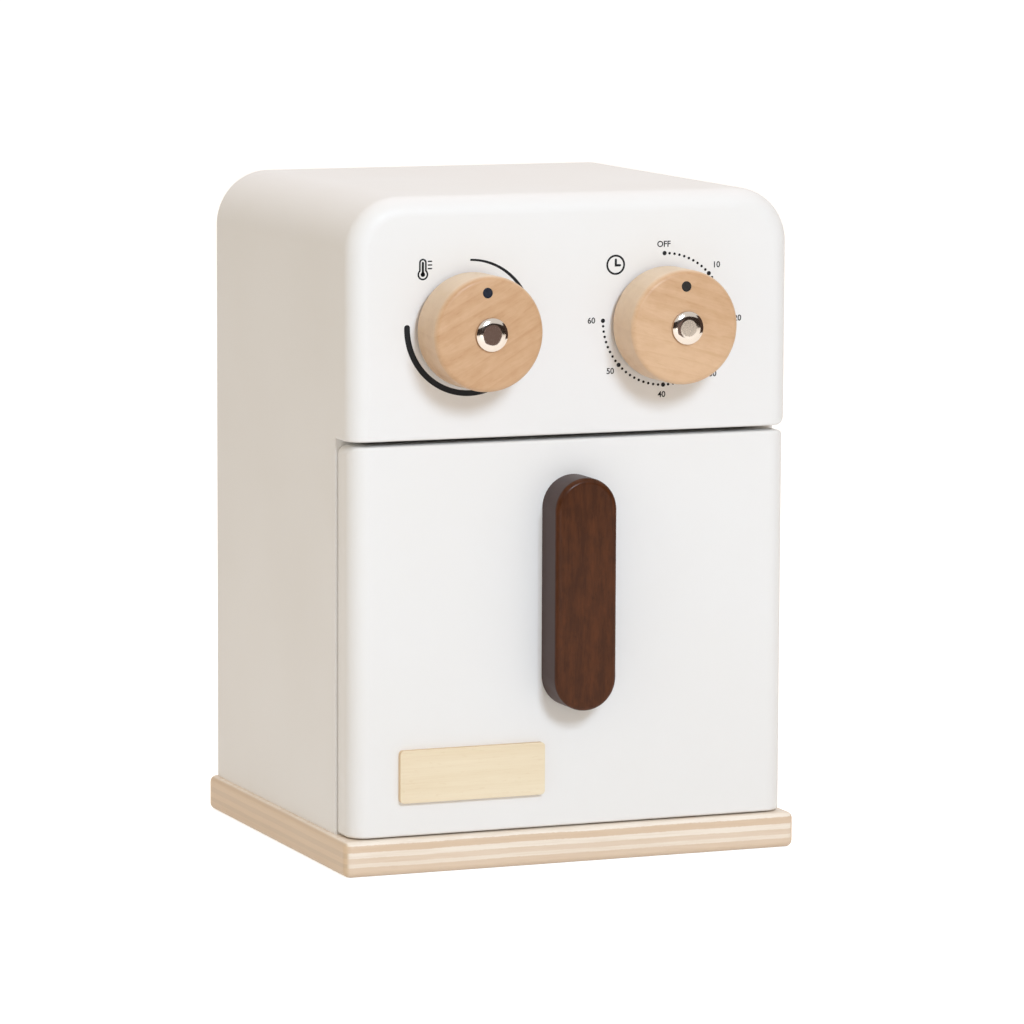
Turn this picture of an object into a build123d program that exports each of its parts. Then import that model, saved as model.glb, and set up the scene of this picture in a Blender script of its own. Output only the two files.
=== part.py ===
"""A wooden toy air fryer: a painted casing on a plywood base, with a pull-out drawer
and two wooden dials that click as they turn.

The front faces -Y, +X is to the right of someone who looks at the front, and +Z is up.
The origin is the middle of the base board's underside. Lengths are in millimetres.
"""
import os

from build123d import *

os.makedirs("parts", exist_ok=True)

# Casing
case_width = 170.0
case_depth = 145.0
total_height = 242.0
wall = 10.0
back_thickness = 6.0
shoulder_radius = 20.0
rear_ease = 1.5

# Base board
base_thickness = 13.0
base_overhang = 2.6
base_corner = 3.0
base_round = 2.4

# Control panel and drawer front, which close the front of the casing
front_thickness = 15.0
front_round = 7.0
front_ease = 1.0
panel_height = 86.5
panel_right_corner = 5.0
panel_gap = 1.8

# Shelf between the drawer bay and the works of the dials
shelf_thickness = 6.0
shelf_lift = 1.0
housing_depth = 3.0

# Drawer
drawer_inset = 0.6
drawer_seat_gap = 0.4
drawer_foot_gap = 0.5
drawer_wall = 6.0
drawer_wall_drop = 34.4
drawer_side_gap = 0.5
drawer_under_gap = 0.3
drawer_rear_gap = 10.5
drawer_left_corner = 3.5
drawer_right_corner = 3.5
floor_thickness = 4.0
floor_lift = 3.0
groove_depth = 3.0

# Guide rails that keep the open drawer level
rail_width = 8.0
rail_height = 8.0
rail_gap = 0.5
rail_setback = 4.0

# Handle
handle_width = 23.5
handle_length = 84.0
handle_thickness = 14.0
handle_round = 2.0
handle_top_margin = 12.5
handle_screw_spacing = 48.0

# Bare wooden tile on the drawer front
tile_width = 55.5
tile_height = 19.0
tile_thickness = 2.0
tile_corner = 1.5
tile_side_margin = 17.85
tile_foot_margin = 12.3

# Dials, the temperature at the left and the timer at the right. A knob is turned from
# solid wood, with a face that swells a little towards the middle. Its dimple stands at
# the pointer's angle, anticlockwise from straight up.
temperature_dial_margin = 44.8
timer_dial_margin = 50.3
dial_height = 39.05
temperature_pointer_angle = 4.3
timer_pointer_angle = 0.0
knob_radius = 20.55
knob_thickness = 19.55
knob_standoff = 2.1
knob_crown = 1.35
knob_front_round = 2.2
knob_rear_round = 1.0
pointer_radius = 1.9
pointer_depth = 0.4
pointer_offset = 14.7

# Bolt that carries a dial, with its domed head, washer and nut
bolt_radius = 2.5
bolt_end = 1.5
head_seat_depth = 0.25
head_seat_gap = 0.2
dome_radius = 5.9
dome_height = 2.0
dome_rim = 1.2
dome_flat_radius = 3.0
fit_clearance = 0.05
washer_radius = 5.5
washer_thickness = 1.0
nut_across_flats = 8.0
nut_thickness = 4.5

# Sleeve on the bolt, which turns in a flanged bush in the control panel
sleeve_radius = 4.0
running_clearance = 0.05
bush_radius = 6.0
bush_flange_radius = 9.0
knob_rub_gap = 0.3
wheel_rub_gap = 0.4

# Click wheel and the leaf spring whose nose rests in one of its notches
click_count = 24
click_wheel_radius = 14.0
click_wheel_thickness = 4.0
notch_radius = 1.5
notch_rise = 0.6
nose_gap = 0.3
blade_thickness = 0.6
blade_width = 4.0
blade_below = 22.0
blade_above = 5.0
foot_width = 10.0
foot_height = 12.0
foot_screw_spacing = 6.0

# Screws
base_screw_radius = 1.75
base_screw_length = 34.0
base_screw_head_radius = 3.5
base_screw_margin = 27.0
handle_screw_radius = 1.75
handle_screw_length = 24.0
handle_screw_head_radius = 3.5
foot_screw_radius = 1.1
foot_screw_length = 8.0
foot_screw_head_radius = 2.1
foot_screw_head_height = 1.4
countersink_angle = 90.0
head_sink = 0.2

# Planes and levels that several pieces share
front_y = -case_depth / 2
rear_y = case_depth / 2
seat_y = front_y + front_thickness
bay_rear_y = rear_y - back_thickness
inner_width = case_width - 2 * wall
inner_shoulder = shoulder_radius - wall
spring_z = total_height - shoulder_radius
ceiling_z = total_height - wall
panel_bottom_z = total_height - panel_height
shelf_bottom_z = panel_bottom_z + shelf_lift
drawer_top_z = panel_bottom_z - panel_gap
drawer_foot_z = base_thickness + drawer_foot_gap
drawer_rear_y = bay_rear_y - drawer_rear_gap
drawer_seat_y = seat_y - drawer_seat_gap
box_width = inner_width - 2 * drawer_side_gap
box_inner_width = box_width - 2 * drawer_wall
box_bottom_z = base_thickness + drawer_under_gap
box_top_z = drawer_top_z - drawer_wall_drop
floor_bottom_z = box_bottom_z + floor_lift
screw_x = case_width / 2 - wall / 2
handle_centre_z = drawer_top_z - handle_top_margin - handle_length / 2
tile_centre_x = drawer_inset + tile_side_margin + tile_width / 2 - case_width / 2
tile_centre_z = drawer_foot_z + tile_foot_margin + tile_height / 2
temperature_dial_x = temperature_dial_margin - case_width / 2
timer_dial_x = case_width / 2 - timer_dial_margin
dial_centre_z = panel_bottom_z + dial_height

underside = Plane(origin=(0, 0, 0), x_dir=(1, 0, 0), z_dir=(0, 0, -1))


def countersunk_screw(radius, head_radius, length):
    """A countersunk wood screw. It points down -Z, with the top of its head at z = 0."""
    head_height = head_radius - radius
    tip_height = 2 * radius
    with BuildPart() as screw:
        with BuildSketch(Plane.XZ):
            with BuildLine():
                Polyline(
                    (0, 0),
                    (head_radius, 0),
                    (radius, -head_height),
                    (radius, tip_height - length),
                    (0, -length),
                    close=True,
                )
            make_face()
        revolve(axis=Axis.Z)
    return screw.part


# Base board, with countersunk holes below for the screws into the side panels
with BuildPart() as base_board:
    with BuildSketch():
        RectangleRounded(
            case_width + 2 * base_overhang, case_depth + 2 * base_overhang, base_corner
        )
    extrude(amount=base_thickness)
    rims = base_board.faces().sort_by(Axis.Z)
    fillet(rims[0].edges() + rims[-1].edges(), base_round)
    with Locations(underside):
        with GridLocations(2 * screw_x, case_depth - 2 * base_screw_margin, 2, 2):
            CounterSinkHole(
                radius=base_screw_radius,
                counter_sink_radius=base_screw_head_radius + head_sink,
                depth=base_thickness,
                counter_sink_angle=countersink_angle,
            )
base_board.part.label = "base_board"
export_step(base_board.part, "parts/base_board.step")

# Screws through the base board, their heads a little below its underside
base_screw = countersunk_screw(base_screw_radius, base_screw_head_radius, base_screw_length)
with BuildPart() as base_screws:
    with Locations(underside.offset(-head_sink)):
        with GridLocations(2 * screw_x, case_depth - 2 * base_screw_margin, 2, 2):
            add(base_screw)
base_screws.part.label = "base_screws"
export_step(base_screws.part, "parts/base_screws.step")

# Side panels, housed on the inside for the shelf and drilled below for the base screws
for node, side in (("left_side_panel", -1), ("right_side_panel", 1)):
    with BuildPart() as side_panel:
        with BuildSketch(Plane.YZ.offset(side * case_width / 2)):
            with Locations(((seat_y + rear_y) / 2, (base_thickness + spring_z) / 2)):
                Rectangle(rear_y - seat_y, spring_z - base_thickness)
        extrude(amount=-side * wall)
        rear_edges = side_panel.edges().filter_by(Axis.Z).group_by(Axis.Y)[-1]
        fillet(rear_edges.sort_by(Axis.X)[-1 if side > 0 else 0], rear_ease)
        with BuildSketch(Plane.YZ.offset(side * inner_width / 2)):
            with Locations(((seat_y + bay_rear_y) / 2, shelf_bottom_z + shelf_thickness / 2)):
                Rectangle(bay_rear_y - seat_y, shelf_thickness)
        extrude(amount=side * housing_depth, mode=Mode.SUBTRACT)
        with Locations(underside.offset(-base_thickness)):
            with Locations((side * screw_x, 0)):
                with GridLocations(1, case_depth - 2 * base_screw_margin, 1, 2):
                    Hole(base_screw_radius, depth=base_screw_length + head_sink - base_thickness)
    side_panel.part.label = node
    export_step(side_panel.part, f"parts/{node}.step")

# Top panel, which turns down through the rounded shoulders to the side panels
with BuildPart() as top_panel:
    with BuildSketch(Plane.XZ.offset(-seat_y)):
        with BuildLine():
            shoulder_x = case_width / 2 - shoulder_radius
            outer_left = CenterArc((-shoulder_x, spring_z), shoulder_radius, 180, -90)
            crown = Line(outer_left @ 1, (shoulder_x, total_height))
            outer_right = CenterArc((shoulder_x, spring_z), shoulder_radius, 90, -90)
            right_foot = Line(outer_right @ 1, (inner_width / 2, spring_z))
            inner_right = CenterArc((shoulder_x, spring_z), inner_shoulder, 0, 90)
            ceiling = Line(inner_right @ 1, (-shoulder_x, ceiling_z))
            inner_left = CenterArc((-shoulder_x, spring_z), inner_shoulder, 90, 90)
            left_foot = Line(inner_left @ 1, outer_left @ 0)
        make_face()
    extrude(amount=seat_y - rear_y)
    rear_rim = top_panel.faces().sort_by(Axis.Y)[-1].edges()
    shoulders = rear_rim.filter_by(GeomType.CIRCLE).group_by(SortBy.RADIUS)[-1]
    fillet(shoulders + rear_rim.sort_by(Axis.Z)[-1:], rear_ease)
top_panel.part.label = "top_panel"
export_step(top_panel.part, "parts/top_panel.step")

# Back panel, let in between the side panels under the top panel
with BuildPart() as back_panel:
    with BuildSketch(Plane.XZ.offset(-bay_rear_y)) as back_outline:
        with Locations((0, (base_thickness + ceiling_z) / 2)):
            Rectangle(inner_width, ceiling_z - base_thickness)
        fillet(back_outline.vertices().group_by(Axis.Y)[-1], inner_shoulder)
    extrude(amount=-back_thickness)
back_panel.part.label = "back_panel"
export_step(back_panel.part, "parts/back_panel.step")

# Shelf, glued into the housings of the side panels
with BuildPart() as divider_shelf:
    with BuildSketch(Plane.XY.offset(shelf_bottom_z)):
        with Locations((0, (seat_y + bay_rear_y) / 2)):
            Rectangle(inner_width + 2 * housing_depth, bay_rear_y - seat_y)
    extrude(amount=shelf_thickness)
divider_shelf.part.label = "divider_shelf"
export_step(divider_shelf.part, "parts/divider_shelf.step")

# Guide rails, glued to the side panels just above the drawer's walls
for node, side in (("left_guide_rail", -1), ("right_guide_rail", 1)):
    with BuildPart() as guide_rail:
        with BuildSketch(Plane.XY.offset(box_top_z + rail_gap)):
            rail_front_y = seat_y + rail_setback
            with Locations((side * (inner_width - rail_width) / 2, (rail_front_y + bay_rear_y) / 2)):
                Rectangle(rail_width, bay_rear_y - rail_front_y)
        extrude(amount=rail_height)
    guide_rail.part.label = node
    export_step(guide_rail.part, f"parts/{node}.step")

# Control panel, with a bore for each dial's bush and pilot holes for the leaf springs.
# Its lower right corner is sanded round.
blade_x = click_wheel_radius + notch_rise + blade_thickness / 3
foot_screw_x = blade_x + blade_thickness + (foot_width - blade_thickness) / 2
foot_screw_z = foot_height / 2 - blade_below
with BuildPart() as control_panel:
    with BuildSketch(Plane.XZ.offset(-seat_y)) as panel_outline:
        with Locations((0, (panel_bottom_z + total_height) / 2)):
            Rectangle(case_width, panel_height)
        fillet(panel_outline.vertices().group_by(Axis.Y)[-1], shoulder_radius)
    extrude(amount=front_thickness)
    front_rim = control_panel.faces().sort_by(Axis.Y)[0].edges().sort_by(Axis.Z)
    fillet(front_rim[1:], front_round)
    with BuildSketch(Plane.XZ.offset(-seat_y)):
        with Locations((case_width / 2 - panel_right_corner / 2, panel_bottom_z + panel_right_corner / 2)):
            Rectangle(panel_right_corner, panel_right_corner)
        with Locations((case_width / 2 - panel_right_corner, panel_bottom_z + panel_right_corner)):
            Circle(panel_right_corner, mode=Mode.SUBTRACT)
    extrude(amount=front_thickness, mode=Mode.SUBTRACT)
    foot_rim = control_panel.faces().sort_by(Axis.Z)[0].edges().sort_by(Axis.Y)
    fillet(foot_rim[:-1], front_ease)
    for dial_x in (temperature_dial_x, timer_dial_x):
        with Locations(Plane(origin=(dial_x, seat_y, dial_centre_z), x_dir=(1, 0, 0), z_dir=(0, 1, 0))):
            Hole(bush_radius)
            with Locations((foot_screw_x, -foot_screw_z)):
                with GridLocations(1, foot_screw_spacing, 1, 2):
                    Hole(foot_screw_radius, depth=foot_screw_length - blade_thickness)
control_panel.part.label = "control_panel"
export_step(control_panel.part, "parts/control_panel.step")

# Drawer front, grooved behind for the floor and drilled for the handle's screws.
# Its top corners are sanded round.
drawer_front_thickness = drawer_seat_y - front_y
drawer_front_width = case_width - 2 * drawer_inset
with BuildPart() as drawer_front:
    with BuildSketch(Plane.XZ.offset(-drawer_seat_y)):
        with Locations((0, (drawer_foot_z + drawer_top_z) / 2)):
            Rectangle(drawer_front_width, drawer_top_z - drawer_foot_z)
    extrude(amount=drawer_front_thickness)
    fillet(drawer_front.faces().sort_by(Axis.Y)[0].edges().filter_by(Axis.Z), front_round)
    with BuildSketch(Plane.XZ.offset(-drawer_seat_y)):
        for side, corner in ((-1, drawer_left_corner), (1, drawer_right_corner)):
            corner_x = side * drawer_front_width / 2
            with Locations((corner_x - side * corner / 2, drawer_top_z - corner / 2)):
                Rectangle(corner, corner)
            with Locations((corner_x - side * corner, drawer_top_z - corner)):
                Circle(corner, mode=Mode.SUBTRACT)
    extrude(amount=drawer_front_thickness, mode=Mode.SUBTRACT)
    fillet(drawer_front.faces().sort_by(Axis.Z)[-1].edges(), front_ease)
    fillet(drawer_front.faces().sort_by(Axis.Z)[0].edges().sort_by(Axis.Y)[:-1], front_ease)
    with BuildSketch(Plane.XZ.offset(-drawer_seat_y)):
        with Locations((0, floor_bottom_z + floor_thickness / 2)):
            Rectangle(box_inner_width + 2 * groove_depth, floor_thickness)
    extrude(amount=groove_depth, mode=Mode.SUBTRACT)
    with Locations(Plane(origin=(0, drawer_seat_y, handle_centre_z), x_dir=(1, 0, 0), z_dir=(0, 1, 0))):
        with GridLocations(1, handle_screw_spacing, 1, 2):
            CounterSinkHole(
                radius=handle_screw_radius,
                counter_sink_radius=handle_screw_head_radius + head_sink,
                depth=drawer_front_thickness,
                counter_sink_angle=countersink_angle,
            )
drawer_front.part.label = "drawer_front"
export_step(drawer_front.part, "parts/drawer_front.step")

# Drawer walls at the sides, grooved inside along their whole length for the floor
for node, side in (("drawer_left_wall", -1), ("drawer_right_wall", 1)):
    with BuildPart() as drawer_wall_panel:
        with BuildSketch(Plane.YZ.offset(side * box_width / 2)):
            with Locations(((drawer_seat_y + drawer_rear_y) / 2, (box_bottom_z + box_top_z) / 2)):
                Rectangle(drawer_rear_y - drawer_seat_y, box_top_z - box_bottom_z)
        extrude(amount=-side * drawer_wall)
        with BuildSketch(Plane.YZ.offset(side * box_inner_width / 2)):
            with Locations(((drawer_seat_y + drawer_rear_y) / 2, floor_bottom_z + floor_thickness / 2)):
                Rectangle(drawer_rear_y - drawer_seat_y, floor_thickness)
        extrude(amount=side * groove_depth, mode=Mode.SUBTRACT)
    drawer_wall_panel.part.label = node
    export_step(drawer_wall_panel.part, f"parts/{node}.step")

# Drawer wall at the back, between the two side walls
with BuildPart() as drawer_back_wall:
    with BuildSketch(Plane.XZ.offset(-drawer_rear_y)):
        with Locations((0, (box_bottom_z + box_top_z) / 2)):
            Rectangle(box_inner_width, box_top_z - box_bottom_z)
    extrude(amount=drawer_wall)
    with BuildSketch(Plane.XZ.offset(drawer_wall - drawer_rear_y)):
        with Locations((0, floor_bottom_z + floor_thickness / 2)):
            Rectangle(box_inner_width, floor_thickness)
    extrude(amount=-groove_depth, mode=Mode.SUBTRACT)
drawer_back_wall.part.label = "drawer_back_wall"
export_step(drawer_back_wall.part, "parts/drawer_back_wall.step")

# Drawer floor, held in the grooves on all four sides
floor_front_y = drawer_seat_y - groove_depth
floor_rear_y = drawer_rear_y - drawer_wall + groove_depth
with BuildPart() as drawer_floor:
    with BuildSketch(Plane.XY.offset(floor_bottom_z)):
        with Locations((0, (floor_front_y + floor_rear_y) / 2)):
            Rectangle(box_inner_width + 2 * groove_depth, floor_rear_y - floor_front_y)
    extrude(amount=floor_thickness)
drawer_floor.part.label = "drawer_floor"
export_step(drawer_floor.part, "parts/drawer_floor.step")

# Handle, an upright bar with round ends, drilled behind for its screws
with BuildPart() as handle:
    with BuildSketch(Plane.XZ.offset(-front_y)):
        with Locations((0, handle_centre_z)):
            SlotOverall(handle_length, handle_width, rotation=90)
    extrude(amount=handle_thickness)
    fillet(handle.faces().sort_by(Axis.Y)[0].edges(), handle_round)
    with Locations(Plane(origin=(0, front_y, handle_centre_z), x_dir=(1, 0, 0), z_dir=(0, 1, 0))):
        with GridLocations(1, handle_screw_spacing, 1, 2):
            Hole(handle_screw_radius, depth=handle_screw_length + head_sink - drawer_front_thickness)
handle.part.label = "handle"
export_step(handle.part, "parts/handle.step")

# Screws that hold the handle from inside the drawer
handle_screw = countersunk_screw(handle_screw_radius, handle_screw_head_radius, handle_screw_length)
screw_seat_y = drawer_seat_y - head_sink
with BuildPart() as handle_screws:
    with Locations(Plane(origin=(0, screw_seat_y, handle_centre_z), x_dir=(1, 0, 0), z_dir=(0, 1, 0))):
        with GridLocations(1, handle_screw_spacing, 1, 2):
            add(handle_screw)
handle_screws.part.label = "handle_screws"
export_step(handle_screws.part, "parts/handle_screws.step")

# Bare wooden tile, glued to the drawer front
with BuildPart() as front_tile:
    with BuildSketch(Plane.XZ.offset(-front_y)):
        with Locations((tile_centre_x, tile_centre_z)):
            RectangleRounded(tile_width, tile_height, tile_corner)
    extrude(amount=tile_thickness)
front_tile.part.label = "front_tile"
export_step(front_tile.part, "parts/front_tile.step")

# Levels along a dial's axis, from the face of the control panel outwards
sleeve_rear = -front_thickness - wheel_rub_gap
wheel_rear = sleeve_rear - click_wheel_thickness
washer_rear = wheel_rear - washer_thickness
nut_rear = washer_rear - nut_thickness
knob_face = knob_standoff + knob_thickness
crown_edge = knob_face - knob_crown
crown_radius = (knob_radius ** 2 + knob_crown ** 2) / (2 * knob_crown)
crown_centre = knob_face - crown_radius
pointer_level = crown_centre + (crown_radius ** 2 - pointer_offset ** 2) ** 0.5 - pointer_depth
head_seat = knob_face - head_seat_depth
head_seat_radius = dome_radius + head_seat_gap
head_seat_rim = crown_centre + (crown_radius ** 2 - head_seat_radius ** 2) ** 0.5
head_top = head_seat + dome_height
bolt_rear = nut_rear - bolt_end
foot_face = -front_thickness - blade_thickness
nose_radius = notch_radius - nose_gap
notch_centre_radius = click_wheel_radius + notch_rise

for dial_name, dial_x, pointer_angle in (
    ("temperature", temperature_dial_x, temperature_pointer_angle),
    ("timer", timer_dial_x, timer_pointer_angle),
):
    dial = Plane(origin=(dial_x, front_y, dial_centre_z), x_dir=(1, 0, 0), z_dir=(0, -1, 0))

    # Wooden knob with a swelling face, a spot-faced seat for the bolt's head, and a
    # flat-bottomed dimple that shows where it points. Its profile is turned about Z.
    with BuildPart() as knob_turning:
        with BuildSketch(Plane.XZ):
            with BuildLine():
                foot = Polyline(
                    (bolt_radius, head_seat),
                    (bolt_radius, knob_standoff),
                    (knob_radius, knob_standoff),
                    (knob_radius, crown_edge),
                )
                crown = RadiusArc(foot @ 1, (head_seat_radius, head_seat_rim), -crown_radius)
                Polyline(crown @ 1, (head_seat_radius, head_seat), foot @ 0)
            make_face()
        revolve(axis=Axis.Z)
        outer_side = knob_turning.faces().filter_by(GeomType.CYLINDER).sort_by(SortBy.AREA)[-1]
        outer_rims = outer_side.edges().filter_by(GeomType.CIRCLE).sort_by(Axis.Z)
        fillet(outer_rims[-1], knob_front_round)
        fillet(outer_rims[0], knob_rear_round)
        with BuildSketch(Plane.XY.offset(pointer_level)):
            with PolarLocations(pointer_offset, 1, start_angle=90 + pointer_angle):
                Circle(pointer_radius)
        extrude(amount=knob_face - pointer_level, mode=Mode.SUBTRACT)
    knob = dial.location * knob_turning.part
    knob.label = f"{dial_name}_knob"
    export_step(knob, f"parts/{dial_name}_knob.step")

    # Bolt with a low domed head, flat in the middle and round at its shoulder
    with BuildPart() as bolt_turning:
        with BuildSketch(Plane.XZ):
            with BuildLine():
                shank = Polyline(
                    (0, head_top),
                    (0, bolt_rear),
                    (bolt_radius, bolt_rear),
                    (bolt_radius, head_seat),
                    (dome_radius, head_seat),
                    (dome_radius, head_seat + dome_rim),
                )
                shoulder = TangentArc((dome_flat_radius, head_top), shank @ 1, tangent=(1, 0))
                Line(shoulder @ 0, shank @ 0)
            make_face()
        revolve(axis=Axis.Z)
    bolt = dial.location * bolt_turning.part
    bolt.label = f"{dial_name}_bolt"
    export_step(bolt, f"parts/{dial_name}_bolt.step")

    # Sleeve clamped on the bolt between the knob and the click wheel
    with BuildPart() as sleeve:
        with BuildSketch(dial.offset(knob_standoff)):
            Circle(sleeve_radius)
            Circle(bolt_radius + fit_clearance, mode=Mode.SUBTRACT)
        extrude(amount=sleeve_rear - knob_standoff)
    sleeve.part.label = f"{dial_name}_sleeve"
    export_step(sleeve.part, f"parts/{dial_name}_sleeve.step")

    # Flanged bush in the control panel, in which the sleeve turns
    with BuildPart() as bush:
        with BuildSketch(dial):
            Circle(bush_flange_radius)
        extrude(amount=knob_standoff - knob_rub_gap)
        with BuildSketch(dial):
            Circle(bush_radius)
        extrude(amount=-front_thickness)
        with Locations(dial):
            Hole(sleeve_radius + running_clearance)
    bush.part.label = f"{dial_name}_bush"
    export_step(bush.part, f"parts/{dial_name}_bush.step")

    # Click wheel, a notch for each click round its rim
    with BuildPart() as click_wheel:
        with BuildSketch(dial.offset(sleeve_rear)):
            Circle(click_wheel_radius)
            Circle(bolt_radius + fit_clearance, mode=Mode.SUBTRACT)
            with PolarLocations(notch_centre_radius, click_count):
                Circle(notch_radius, mode=Mode.SUBTRACT)
        extrude(amount=-click_wheel_thickness)
    click_wheel.part.label = f"{dial_name}_click_wheel"
    export_step(click_wheel.part, f"parts/{dial_name}_click_wheel.step")

    # Washer and nut that clamp the wheel, the sleeve and the knob on the bolt
    with BuildPart() as washer:
        with BuildSketch(dial.offset(wheel_rear)):
            Circle(washer_radius)
            Circle(bolt_radius + fit_clearance, mode=Mode.SUBTRACT)
        extrude(amount=-washer_thickness)
    washer.part.label = f"{dial_name}_washer"
    export_step(washer.part, f"parts/{dial_name}_washer.step")
    with BuildPart() as nut:
        with BuildSketch(dial.offset(washer_rear)):
            RegularPolygon(nut_across_flats / 2, 6, major_radius=False)
            Circle(bolt_radius + fit_clearance, mode=Mode.SUBTRACT)
        extrude(amount=-nut_thickness)
    nut.part.label = f"{dial_name}_nut"
    export_step(nut.part, f"parts/{dial_name}_nut.step")

    # Leaf spring on its foot behind the panel, its round nose in one of the notches
    with BuildPart() as click_spring:
        with BuildSketch(dial.offset(foot_face)):
            with Locations((blade_x, (blade_above - blade_below) / 2)):
                Rectangle(blade_thickness, blade_above + blade_below, align=(Align.MIN, Align.CENTER))
            with Locations((notch_centre_radius, 0)):
                Circle(nose_radius)
        extrude(amount=-blade_width)
        with BuildSketch(dial.offset(-front_thickness)):
            with Locations((blade_x, -blade_below)):
                Rectangle(foot_width, foot_height, align=Align.MIN)
        extrude(amount=-blade_thickness)
        with Locations(dial.offset(foot_face)):
            with Locations((foot_screw_x, foot_screw_z)):
                with GridLocations(1, foot_screw_spacing, 1, 2):
                    Hole(foot_screw_radius, depth=blade_thickness)
    click_spring.part.label = f"{dial_name}_click_spring"
    export_step(click_spring.part, f"parts/{dial_name}_click_spring.step")

    # Round-headed screws that hold the spring's foot
    with BuildPart() as spring_screws:
        for screw_z in (foot_screw_z - foot_screw_spacing / 2, foot_screw_z + foot_screw_spacing / 2):
            with BuildSketch(dial.offset(foot_face)):
                with Locations((foot_screw_x, screw_z)):
                    Circle(foot_screw_head_radius)
            extrude(amount=-foot_screw_head_height)
            with BuildSketch(dial.offset(foot_face)):
                with Locations((foot_screw_x, screw_z)):
                    Circle(foot_screw_radius)
            extrude(amount=foot_screw_length)
    spring_screws.part.label = f"{dial_name}_spring_screws"
    export_step(spring_screws.part, f"parts/{dial_name}_spring_screws.step")
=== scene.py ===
"""Looks of a wooden toy air fryer, laid out as a Blender add-on.

It holds the finish of every piece, the marks printed round the two dials, the dark pointer
dots in the dials, and a plain pale studio with its camera. Lengths are in metres. The front
faces -Y, +X is to the right of someone who looks at the front, and +Z is up.
"""
import math

import bmesh
import bpy
import numpy as np
from bpy.props import FloatProperty, FloatVectorProperty, IntProperty, PointerProperty
from bpy.types import Operator, Panel, PropertyGroup
from mathutils import Matrix, Vector


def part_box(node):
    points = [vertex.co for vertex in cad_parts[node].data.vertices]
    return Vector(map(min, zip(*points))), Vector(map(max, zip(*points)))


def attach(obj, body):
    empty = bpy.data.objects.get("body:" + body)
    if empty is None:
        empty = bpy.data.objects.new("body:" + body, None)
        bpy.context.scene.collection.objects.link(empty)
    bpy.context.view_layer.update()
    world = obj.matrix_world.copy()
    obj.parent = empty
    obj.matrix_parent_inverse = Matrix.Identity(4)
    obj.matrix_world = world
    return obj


bl_info = {
    "name": "Toy Air Fryer Looks",
    "version": (1, 0, 0),
    "blender": (4, 5, 0),
    "location": "3D View > Sidebar > Air Fryer",
    "description": "Finishes, printed marks and studio of a wooden toy air fryer",
    "category": "Object",
}

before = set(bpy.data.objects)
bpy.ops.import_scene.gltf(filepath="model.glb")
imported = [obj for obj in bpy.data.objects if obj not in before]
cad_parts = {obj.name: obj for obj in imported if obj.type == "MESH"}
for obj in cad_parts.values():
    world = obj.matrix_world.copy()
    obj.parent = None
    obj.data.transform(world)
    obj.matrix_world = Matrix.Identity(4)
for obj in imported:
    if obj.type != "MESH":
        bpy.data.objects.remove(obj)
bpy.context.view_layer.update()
MM = 0.001
# Share of a printed film's thickness that reaches below the face it lies on
SINK = 0.2

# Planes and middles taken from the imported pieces
panel_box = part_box("control_panel")
base_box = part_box("base_board")
PANEL_Y = panel_box[0].y
BASE_THICKNESS = base_box[1].z - base_box[0].z


def middle(node):
    """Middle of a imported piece's box."""
    low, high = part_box(node)
    return (low + high) / 2


def tint(red, green, blue):
    """A colour given as three values from 0 to 255, turned into scene-linear ones."""
    share = np.array([red, green, blue]) / 255.0
    low, high = share / 12.92, ((share + 0.055) / 1.055) ** 2.4
    return tuple(float(value) for value in np.where(share <= 0.04045, low, high))


class AirFryerPaint(PropertyGroup):
    """White paint of the casing and the drawer front."""

    colour: FloatVectorProperty(
        name="Colour", description="Colour of the white paint", subtype="COLOR",
        size=3, min=0.0, max=1.0, default=tint(239, 238, 236),
    )
    roughness: FloatProperty(
        name="Roughness", description="How dull the satin paint is", min=0.0, max=1.0, default=0.42,
    )
    peel: FloatProperty(
        name="Peel", description="Height of the sprayed paint's fine waviness",
        unit="LENGTH", min=0.0, max=0.001, default=0.012 * MM,
    )


class AirFryerWood(PropertyGroup):
    """Bare and stained woods."""

    knob_light: FloatVectorProperty(
        name="Knob, pale wood", description="Colour between the growth rings of the knobs",
        subtype="COLOR", size=3, min=0.0, max=1.0, default=tint(220, 183, 146),
    )
    knob_dark: FloatVectorProperty(
        name="Knob, ring lines", description="Colour of the knobs' growth rings",
        subtype="COLOR", size=3, min=0.0, max=1.0, default=tint(190, 144, 102),
    )
    ring_spacing: FloatProperty(
        name="Ring spacing", description="Distance between the knobs' growth rings",
        unit="LENGTH", min=0.0005, max=0.05, default=5.5 * MM,
    )
    temperature_grain: FloatProperty(
        name="Temperature grain", description="Slope of the grain on the temperature knob",
        subtype="ANGLE", default=math.radians(28),
    )
    timer_grain: FloatProperty(
        name="Timer grain", description="Slope of the grain on the timer knob",
        subtype="ANGLE", default=math.radians(-17),
    )
    ply_pale: FloatVectorProperty(
        name="Ply, pale", description="Colour of a ply whose grain runs along the front edge",
        subtype="COLOR", size=3, min=0.0, max=1.0, default=tint(250, 240, 226),
    )
    ply_tan: FloatVectorProperty(
        name="Ply, tan", description="Colour of a ply that is cut across at the front edge",
        subtype="COLOR", size=3, min=0.0, max=1.0, default=tint(223, 198, 171),
    )
    ply_side: FloatVectorProperty(
        name="Ply, side", description="Colour of the plies along the left and right edges",
        subtype="COLOR", size=3, min=0.0, max=1.0, default=tint(219, 193, 161),
    )
    stain_light: FloatVectorProperty(
        name="Stain, worn", description="Lighter streaks of the handle's dark stain",
        subtype="COLOR", size=3, min=0.0, max=1.0, default=tint(91, 49, 23),
    )
    stain_dark: FloatVectorProperty(
        name="Stain, deep", description="Darkest streaks of the handle's dark stain",
        subtype="COLOR", size=3, min=0.0, max=1.0, default=tint(66, 34, 15),
    )


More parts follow.
